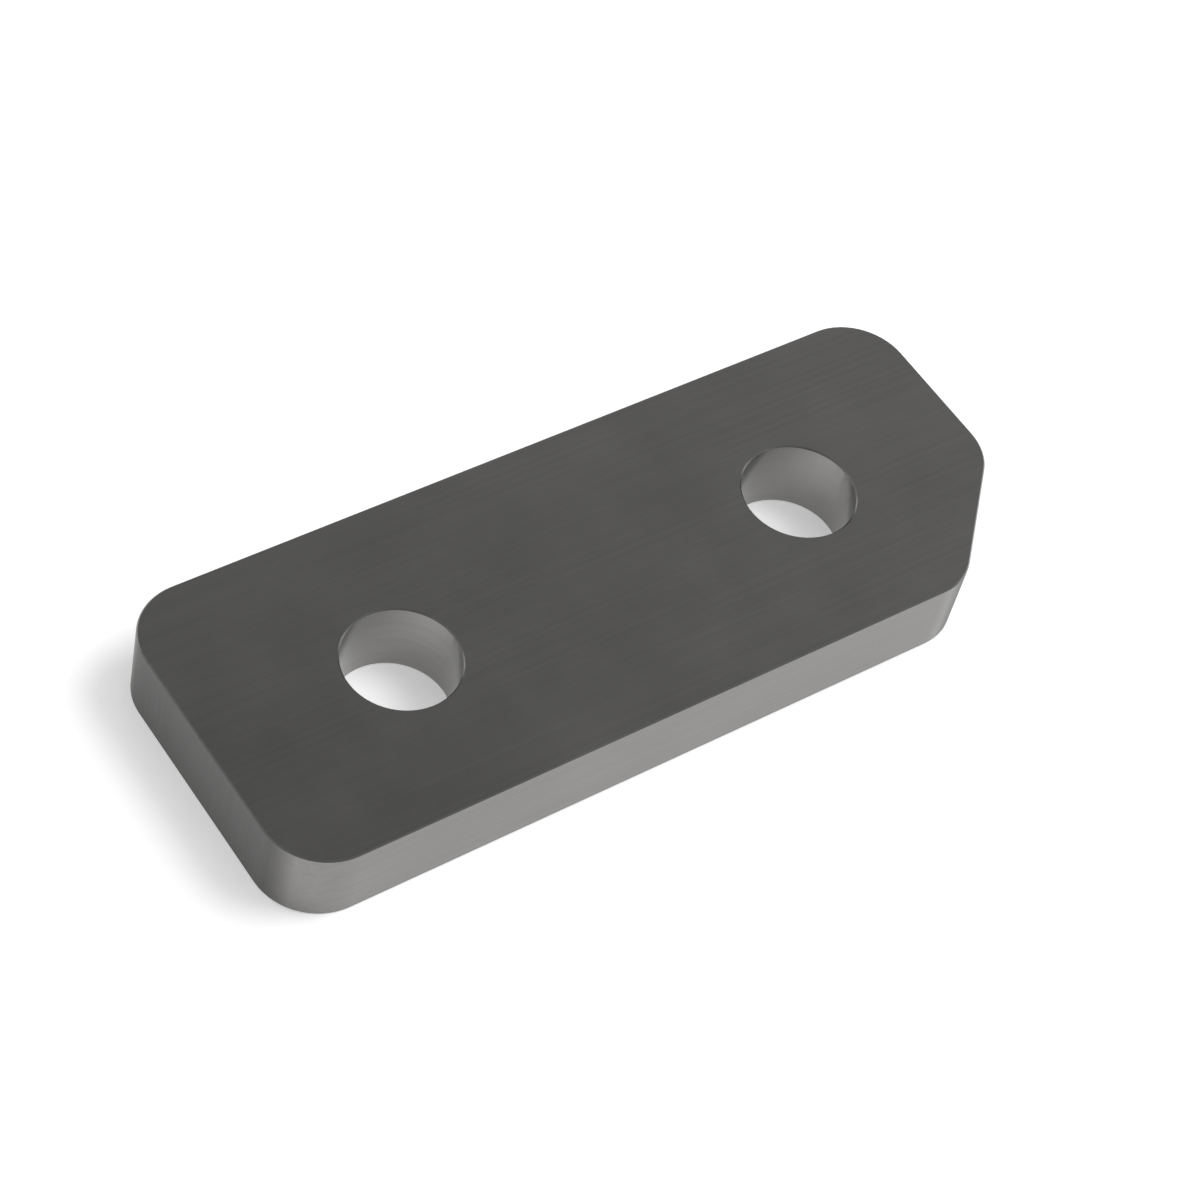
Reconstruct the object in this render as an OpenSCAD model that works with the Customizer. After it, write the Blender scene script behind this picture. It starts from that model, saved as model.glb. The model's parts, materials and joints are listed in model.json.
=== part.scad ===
/* [Plate] */
// Width of the flat bar that the plate is cut from, 2 in
plate_w = 50.8; // [40:0.1:120]
// Thickness of the bar, 1/2 in, which is the gap that the plate fills
plate_t = 12.7; // [3:0.1:40]
// Radius of all five outline corners, 3/8 in
corner_r = 9.525; // [2:0.025:16]
// Legs of the one corner that is cut off at 45 degrees, 3/4 in
clipped_leg = 19.05; // [8:0.05:30]
// Width of the 45 degree edge break round both faces
edge_break = 0.2; // [0.1:0.05:1]

/* [Bolt holes] */
// Distance between the centres of the two holes
hole_pitch = 70; // [30:0.5:200]
// Diameter of each hole, the medium clearance hole for an M16 bolt
hole_d = 17.5; // [5:0.1:26]
// Distance from the centre of each hole to its end of the plate, 1 1/4 in
hole_to_end = 31.75; // [18:0.05:60]
// Width of the 45 degree break round each mouth of a hole
hole_break = 0.2; // [0.1:0.05:1]

/* [Hidden] */
steel = [0.34, 0.34, 0.335];
// Facets of a whole circle, and how far a cut runs past a face
$fn = 120;
past = 1;
// The plate lies flat, centred on the origin, with its lower face at z = 0
half_l = hole_pitch / 2 + hole_to_end;
half_w = plate_w / 2;
hole_xs = [-hole_pitch / 2, hole_pitch / 2];
// The outline is a belt round five equal circles, and these reach the centres of the outer four
inner_l = half_l - corner_r;
inner_w = half_w - corner_r;
// Length that a rounding takes off each side of a 135 degree corner, down to a whole thousandth
blunt_run = floor(1000 * corner_r * tan(22.5)) / 1000;
// Reach in x and in y from such a rounding's centre to where it meets the clipped side
clip_reach = (corner_r + blunt_run) / 2;
// Centres of the roundings in counterclockwise order, the two of the clipped corner second and third
centres = [
  [-inner_l, -inner_w],
  [half_l - clipped_leg - blunt_run, -inner_w],
  [inner_l, clipped_leg + blunt_run - half_w],
  [inner_l, inner_w],
  [-inner_l, inner_w],
];
// Steps from the line between two centres out to the side that follows it
outward = [
  [0, -corner_r],
  [clip_reach, -clip_reach],
  [corner_r, 0],
  [0, corner_r],
  [-corner_r, 0],
];
sides = len(centres);

// The round post whose outer part is one rounded corner, with both of its rims broken
module corner_post(centre) {
  translate(centre)
    rotate_extrude()
      polygon([
        [0, 0],
        [corner_r - edge_break, 0],
        [corner_r, edge_break],
        [corner_r, plate_t - edge_break],
        [corner_r - edge_break, plate_t],
        [0, plate_t],
      ]);
}

// What breaks the two long edges of the side that runs from one point to another
module edge_break_cuts(from, to) {
  run = to - from;
  for (face = [0, 1])
    translate([from[0], from[1], face * plate_t])
      mirror([0, 0, face])
        rotate(atan2(run[1], run[0]))
          translate([-past, 0, 0])
            rotate([90, 0, 90])
              linear_extrude(norm(run) + 2 * past)
                polygon([
                  [edge_break + past, -past],
                  [-past, edge_break + past],
                  [-past, -past],
                ]);
}

// The block from inside the core out to one straight side
module side_block(from, to, out) {
  difference() {
    linear_extrude(plate_t)
      polygon([from - out / 2, from + out, to + out, to - out / 2]);
    edge_break_cuts(from + out, to + out);
  }
}

// The middle of the plate, inside the line through the roundings' centres
module core() {
  linear_extrude(plate_t)
    polygon(centres);
}

// The plate before it is drilled
module blank() {
  core();
  for (i = [0:sides - 1]) {
    corner_post(centres[i]);
    side_block(centres[i], centres[(i + 1) % sides], outward[i]);
  }
}

// A drill's cylinder, with a cone at each face that breaks the mouth's edge
module bolt_hole() {
  translate([0, 0, -past])
    cylinder(d = hole_d, h = plate_t + 2 * past);
  for (face = [0, 1])
    translate([0, 0, face * plate_t])
      mirror([0, 0, face])
        translate([0, 0, -past])
          cylinder(
            r1 = hole_d / 2 + hole_break + past,
            r2 = hole_d / 2,
            h = hole_break + past
          );
}

module spacer_plate() {
  color(steel)
    difference() {
      blank();
      for (x = hole_xs)
        translate([x, 0, 0])
          bolt_hole();
    }
}

spacer_plate();
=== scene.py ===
"""Studio picture of a park brake spacer: a drilled plate of dark satin steel, lying on a white floor.

All lengths are in metres. The plate lies flat with its lower face on the floor at z = 0, its length
along X and its clipped corner towards +X and -Y.
"""

import json
import math

import bpy
from mathutils import Euler, Matrix, Vector

MM_PER_METRE = 1000
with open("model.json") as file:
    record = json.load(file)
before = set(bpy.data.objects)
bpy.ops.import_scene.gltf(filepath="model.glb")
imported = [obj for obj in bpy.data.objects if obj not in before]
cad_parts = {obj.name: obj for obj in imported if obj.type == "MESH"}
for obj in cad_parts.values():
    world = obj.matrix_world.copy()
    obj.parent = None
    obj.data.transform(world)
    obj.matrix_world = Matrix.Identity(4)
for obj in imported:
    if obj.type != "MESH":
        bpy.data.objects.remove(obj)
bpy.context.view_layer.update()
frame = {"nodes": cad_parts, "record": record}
plate = frame["nodes"]["spacer_plate"]
mounts = {mount["name"]: mount for mount in frame["record"]["mounts"]}
hole_places = [mounts[name]["pos_m"] for name in ("hole_square_end", "hole_clipped_end")]
hole_radius = mounts["hole_square_end"]["dims"]["r_mm"] / MM_PER_METRE

# Camera: a 100 mm lens on a 36 mm square frame
CAMERA_LENS_MM = 100.0
CAMERA_FRAME_MM = 36.0
# The point of the floor that is in the middle of the picture, and the camera's distance from it
CAMERA_AIM = Vector((0.00382, 0.00356, 0.0))
CAMERA_DISTANCE = 0.49257
# Which way it looks, counted from +X towards +Y, how far down, and the roll that makes the plate climb
CAMERA_TURN = math.radians(44.0)
CAMERA_DIP = math.radians(50.18)
CAMERA_ROLL = math.radians(15.4)

# Steel: the rolled bar, its duller sawn walls, and the cleaner metal of drilled walls and broken edges
# The sawn walls are the two ends and the clipped corner
# The sawn walls are darker partly for their duller finish and partly by painted shade
# The drilled walls are lighter partly for their cleaner metal and partly by painted light against the
# shade in the holes
BAR_COLOUR = (0.243, 0.2388, 0.2346)
SAWN_AND_SHADE_COLOUR = (0.155, 0.1528, 0.1505)
# The drilled walls' lighter colour is partly cleaner metal and partly painted light against the shade
# in the holes
CUT_AND_HOLE_LIGHT_COLOUR = (0.300, 0.2959, 0.2903)
BAR_ROUGHNESS = 0.24
SAWN_ROUGHNESS = 0.55
CUT_ROUGHNESS = 0.24
# How far the slow mottling darkens the metal, and how far the fine marks darken or lighten it
MOTTLE_DEPTH = 0.05
GRAIN_DEPTH = 0.045
# How far the mottling makes the metal rougher or smoother
ROUGHNESS_SWING = 0.015
# Patterns per metre, along and across the marks
MOTTLE_SCALE = 70.0
GRAIN_ALONG = 22.0
GRAIN_ACROSS = 1500.0
RING_SCALE = 3400.0
# Fineness of all the noise, and the part of its range that the marks use
NOISE_DETAIL = 3.0
NOISE_ROUGHNESS = 0.55
NOISE_LOW = 0.3
NOISE_HIGH = 0.7
# Height of the marks, and how much of it shows
MARK_HEIGHT = 0.000004
MARK_STRENGTH = 0.25
# The upward share of a normal is above the first value on a face, and below the second on a wall
FACE_NORMAL = 0.93
WALL_NORMAL = 0.35
# How far outside a hole's radius a wall still belongs to that hole
BORE_MARGIN = 0.0006
# How far a wall's normal leans the way a saw cut faces, where the sawn finish and its painted shade
# start and are full
SAWN_AND_SHADE_STARTS = 0.80
SAWN_AND_SHADE_FULL = 0.97
# Share of a direction half way between two axes that lies along each of them
DIAGONAL_SHARE = math.sqrt(0.5)

# Floor
FLOOR_SIZE = 6.0
FLOOR_WHITE = (0.92, 0.92, 0.92)
FLOOR_SHADE = (0.90, 0.90, 0.90)
FLOOR_GRAIN_SCALE = 900.0
FLOOR_ROUGHNESS = 0.9
# White that the floor adds for the camera and for reflections, on top of the light that falls on it
FLOOR_OWN_WHITE = 0.38

# Light: a weak even sky, with a pale band behind the plate that its upper face reflects
WHITE = (1.0, 1.0, 1.0, 1.0)
SKY_LEVEL = 0.02
BAND_LEVEL = 0.61
# Heights where the band begins, is at its palest and ends, and its middle's turn from +X towards +Y
BAND_LOW = math.radians(5)
BAND_FULL = math.radians(30)
BAND_HIGH = math.radians(70)
BAND_TURN = math.radians(62)
# Share of the band that is left on the side opposite to it
BAND_FRONT = 0.45
# Past the floor's edge, in low views, the sky is white up to the first height and fades by the second
HORIZON_LEVEL = 1.0
HORIZON_WHITE = math.radians(11)
HORIZON_ENDS = math.radians(14)
# Lamps: turn from +X towards +Y and height in degrees, strength, and spread in degrees
KEY_LAMP = (340, 54, 1.4, 34)
HIGH_LAMP = (318, 74, 0.7, 46)
BACK_LAMP = (110, 50, 0.2, 20)

# Places of the two inputs and of the output that a Mix node uses for numbers and for colours
NUMBER_SOCKETS = (2, 3, 0)
COLOUR_SOCKETS = (6, 7, 2)


def add_node(tree, kind, inputs=None, **settings):
    """One node with its settings, and each named input either linked or given a value."""
    node = tree.nodes.new(kind)
    for name, value in settings.items():
        setattr(node, name, value)
    for name, value in (inputs or {}).items():
        if isinstance(value, bpy.types.NodeSocket):
            tree.links.new(value, node.inputs[name])
        else:
            node.inputs[name].default_value = value
    return node


def calculate(tree, operation, first, second=0.0):
    return add_node(tree, "ShaderNodeMath", {0: first, 1: second}, operation=operation).outputs[0]


def step_between(tree, value, low, high, out_low=0.0, out_high=1.0):
    """A number that goes from one outcome to the other as the value goes from low to high."""
    inputs = {"Value": value, "From Min": low, "From Max": high, "To Min": out_low, "To Max": out_high}
    return add_node(tree, "ShaderNodeMapRange", inputs, clamp=True).outputs["Result"]


def blend(tree, share, first, second, kind="FLOAT", sockets=NUMBER_SOCKETS):
    """What goes from the first to the second as the share goes from 0 to 1."""
    first_input, second_input, output = sockets
    inputs = {0: share, first_input: first, second_input: second}
    return add_node(tree, "ShaderNodeMix", inputs, data_type=kind).outputs[output]


def blend_colour(tree, share, first, second):
    return blend(tree, share, first, second, "RGBA", COLOUR_SOCKETS)


def opaque(colour):
    return (*colour, 1.0)


def streaks(tree, place, scale):
    """Noise that is stretched into marks by its three scales, along x, y and z."""
    stretched = add_node(tree, "ShaderNodeMapping", {"Vector": place, "Scale": scale}).outputs[0]
    inputs = {"Vector": stretched, "Scale": 1.0, "Detail": NOISE_DETAIL, "Roughness": NOISE_ROUGHNESS}
    return add_node(tree, "ShaderNodeTexNoise", inputs).outputs["Fac"]


def distance_from_hole(tree, split, hole):
    along = calculate(tree, "SUBTRACT", split.outputs["X"], hole[0])
    across = calculate(tree, "SUBTRACT", split.outputs["Y"], hole[1])
    along_squared = calculate(tree, "MULTIPLY", along, along)
    across_squared = calculate(tree, "MULTIPLY", across, across)
    return calculate(tree, "SQRT", calculate(tree, "ADD", along_squared, across_squared))


def make_steel():
    """Satin bar steel: grain along the bar, saw marks on its cut walls, drill rings in its holes."""
    material = bpy.data.materials.new("satin steel")
    material.use_nodes = True
    tree = material.node_tree
    shader = tree.nodes["Principled BSDF"]
    coordinates = add_node(tree, "ShaderNodeTexCoord")
    place = coordinates.outputs["Object"]
    split = add_node(tree, "ShaderNodeSeparateXYZ", {0: place})
    facing = add_node(tree, "ShaderNodeSeparateXYZ", {0: coordinates.outputs["Normal"]})
    upright = calculate(tree, "ABSOLUTE", facing.outputs["Z"])
    endways = calculate(tree, "ABSOLUTE", facing.outputs["X"])
    # The clipped corner faces half way between +X and -Y, and no other outer wall does
    slanting = calculate(tree, "SUBTRACT", facing.outputs["X"], facing.outputs["Y"])
    clipways = calculate(tree, "MULTIPLY", slanting, DIAGONAL_SHARE)
    towards_saw = calculate(tree, "MAXIMUM", endways, clipways)

    # Where each finish lies, and with it the painted shade on the sawn walls and the painted light in
    # the holes
    from_holes = [distance_from_hole(tree, split, hole) for hole in hole_places]
    near_hole = calculate(tree, "MINIMUM", *from_holes)
    in_hole = calculate(tree, "LESS_THAN", near_hole, hole_radius + BORE_MARGIN)
    is_wall = calculate(tree, "LESS_THAN", upright, WALL_NORMAL)
    is_bore = calculate(tree, "MULTIPLY", in_hole, is_wall)
    not_face = calculate(tree, "LESS_THAN", upright, FACE_NORMAL)
    is_edge = calculate(tree, "SUBTRACT", not_face, is_wall)
    # Drilled walls and broken edges; in the holes their lighter colour is partly painted light
    is_cut_and_hole_lit = calculate(tree, "MAXIMUM", is_bore, is_edge)
    # The sawn walls: a duller finish, and a darker colour that is partly painted shade
    sawn_and_shade_share = step_between(tree, towards_saw, SAWN_AND_SHADE_STARTS, SAWN_AND_SHADE_FULL)
    is_sawn_and_shaded = calculate(tree, "MULTIPLY", is_wall, sawn_and_shade_share)

    # The slow mottling, and the marks that each tool leaves
    mottle = streaks(tree, place, (MOTTLE_SCALE, MOTTLE_SCALE, MOTTLE_SCALE))
    grain = streaks(tree, place, (GRAIN_ALONG, GRAIN_ACROSS, GRAIN_ACROSS))
    saw_marks = streaks(tree, place, (GRAIN_ACROSS, GRAIN_ACROSS, GRAIN_ALONG))
    rings = streaks(tree, place, (GRAIN_ALONG, GRAIN_ALONG, RING_SCALE))
    marks = blend(tree, is_bore, blend(tree, is_sawn_and_shaded, grain, saw_marks), rings)

    # Colour: slow mottling and a trace of the marks over the metal's colour, which is darker on the
    # sawn walls partly by painted shade, and lighter in the holes partly by painted light
    outside = blend_colour(tree, is_sawn_and_shaded, opaque(BAR_COLOUR), opaque(SAWN_AND_SHADE_COLOUR))
    metal = blend_colour(tree, is_cut_and_hole_lit, outside, opaque(CUT_AND_HOLE_LIGHT_COLOUR))
    mottled = step_between(tree, mottle, NOISE_LOW, NOISE_HIGH, 1.0 - MOTTLE_DEPTH, 1.0)
    marked = step_between(tree, marks, NOISE_LOW, NOISE_HIGH, -GRAIN_DEPTH, GRAIN_DEPTH)
    inputs = {0: metal, "Scale": calculate(tree, "ADD", mottled, marked)}
    shaded = add_node(tree, "ShaderNodeVectorMath", inputs, operation="SCALE").outputs[0]
    tree.links.new(shaded, shader.inputs["Base Color"])

    # Gloss
    outside_gloss = blend(tree, is_sawn_and_shaded, BAR_ROUGHNESS, SAWN_ROUGHNESS)
    gloss = blend(tree, is_cut_and_hole_lit, outside_gloss, CUT_ROUGHNESS)
    swing = step_between(tree, mottle, NOISE_LOW, NOISE_HIGH, -ROUGHNESS_SWING, ROUGHNESS_SWING)
    tree.links.new(calculate(tree, "ADD", gloss, swing), shader.inputs["Roughness"])
    shader.inputs["Metallic"].default_value = 1.0

    # Relief
    inputs = {"Height": marks, "Strength": MARK_STRENGTH, "Distance": MARK_HEIGHT}
    relief = add_node(tree, "ShaderNodeBump", inputs)
    tree.links.new(relief.outputs["Normal"], shader.inputs["Normal"])
    return material


def seen_by_camera(tree):
    """1 for what the camera sees, straight, in a reflection or through glass, and otherwise 0."""
    path = add_node(tree, "ShaderNodeLightPath").outputs
    seen = calculate(tree, "MAXIMUM", path["Is Camera Ray"], path["Is Glossy Ray"])
    return calculate(tree, "MAXIMUM", seen, path["Is Transmission Ray"])


def make_floor():
    """A sheet of white paper under the plate, which keeps the plate's shadow."""
    bpy.ops.object.select_all(action="DESELECT")
    bpy.ops.mesh.primitive_plane_add(size=FLOOR_SIZE)
    floor = bpy.context.object
    floor.name = "floor"
    material = bpy.data.materials.new("floor paper")
    material.use_nodes = True
    tree = material.node_tree
    shader = tree.nodes["Principled BSDF"]
    place = add_node(tree, "ShaderNodeTexCoord").outputs["Object"]
    fibres = streaks(tree, place, (FLOOR_GRAIN_SCALE, FLOOR_GRAIN_SCALE, FLOOR_GRAIN_SCALE))
    paper = blend_colour(tree, fibres, opaque(FLOOR_SHADE), opaque(FLOOR_WHITE))
    tree.links.new(paper, shader.inputs["Base Color"])
    shader.inputs["Roughness"].default_value = FLOOR_ROUGHNESS
    level = calculate(tree, "MULTIPLY", seen_by_camera(tree), FLOOR_OWN_WHITE)
    own_white = add_node(tree, "ShaderNodeEmission", {"Color": WHITE, "Strength": level})
    both = add_node(tree, "ShaderNodeAddShader", {0: shader.outputs[0], 1: own_white.outputs[0]})
    tree.links.new(both.outputs[0], tree.nodes["Material Output"].inputs["Surface"])
    floor.data.materials.append(material)


def make_sky():
    """The band of pale sky that the plate's upper face reflects, over a white horizon."""
    world = bpy.data.worlds.new("studio sky")
    bpy.context.scene.world = world
    world.use_nodes = True
    tree = world.node_tree
    back = tree.nodes["Background"]
    direction = add_node(tree, "ShaderNodeTexCoord").outputs["Generated"]
    split = add_node(tree, "ShaderNodeSeparateXYZ", {0: direction})
    rise = calculate(tree, "ARCSINE", split.outputs["Z"])
    turn = calculate(tree, "ARCTAN2", split.outputs["Y"], split.outputs["X"])

    # The band fades upwards, downwards and round to the front
    rising = step_between(tree, rise, BAND_LOW, BAND_FULL)
    fading = step_between(tree, rise, BAND_FULL, BAND_HIGH, 1.0, 0.0)
    band = calculate(tree, "MULTIPLY", rising, fading)
    towards_band = calculate(tree, "COSINE", calculate(tree, "SUBTRACT", turn, BAND_TURN))
    round_share = step_between(tree, towards_band, -1.0, 1.0, BAND_FRONT, 1.0)
    glow = calculate(tree, "MULTIPLY", calculate(tree, "MULTIPLY", band, round_share), BAND_LEVEL)
    sky = calculate(tree, "ADD", glow, SKY_LEVEL)

    # The horizon is white for the camera and in reflections, and gives the plate no other light
    low_down = step_between(tree, rise, HORIZON_WHITE, HORIZON_ENDS, HORIZON_LEVEL, 0.0)
    horizon = calculate(tree, "MULTIPLY", low_down, seen_by_camera(tree))
    tree.links.new(calculate(tree, "MAXIMUM", sky, horizon), back.inputs["Strength"])
    back.inputs["Color"].default_value = WHITE


def add_lamp(name, azimuth, elevation, strength, spread):
    """A soft distant lamp that shines from the given turn and height, both in degrees."""
    data = bpy.data.lights.new(name, "SUN")
    data.energy = strength
    data.angle = math.radians(spread)
    lamp = bpy.data.objects.new(name, data)
    bpy.context.scene.collection.objects.link(lamp)
    turn = math.radians(azimuth)
    rise = math.radians(elevation)
    level_reach = math.cos(rise)
    towards = Vector((math.cos(turn) * level_reach, math.sin(turn) * level_reach, math.sin(rise)))
    lamp.rotation_euler = towards.to_track_quat("Z", "Y").to_euler()


def make_camera():
    data = bpy.data.cameras.new("camera")
    data.lens = CAMERA_LENS_MM
    data.sensor_width = CAMERA_FRAME_MM
    camera = bpy.data.objects.new("camera", data)
    bpy.context.scene.collection.objects.link(camera)
    # Unturned, a camera looks straight down with the top of its picture towards +Y
    right_angle = math.radians(90)
    level = Euler((right_angle - CAMERA_DIP, 0.0, CAMERA_TURN - right_angle)).to_matrix()
    turned = level @ Matrix.Rotation(CAMERA_ROLL, 3, "Z")
    backwards = turned @ Vector((0.0, 0.0, 1.0))
    camera.rotation_euler = turned.to_euler()
    camera.location = CAMERA_AIM + CAMERA_DISTANCE * backwards
    bpy.context.scene.camera = camera


plate.data.materials.clear()
plate.data.materials.append(make_steel())
make_floor()
make_sky()
add_lamp("key lamp", *KEY_LAMP)
add_lamp("high lamp", *HIGH_LAMP)
add_lamp("back lamp", *BACK_LAMP)
make_camera()
bpy.context.scene.view_settings.view_transform = "Standard"
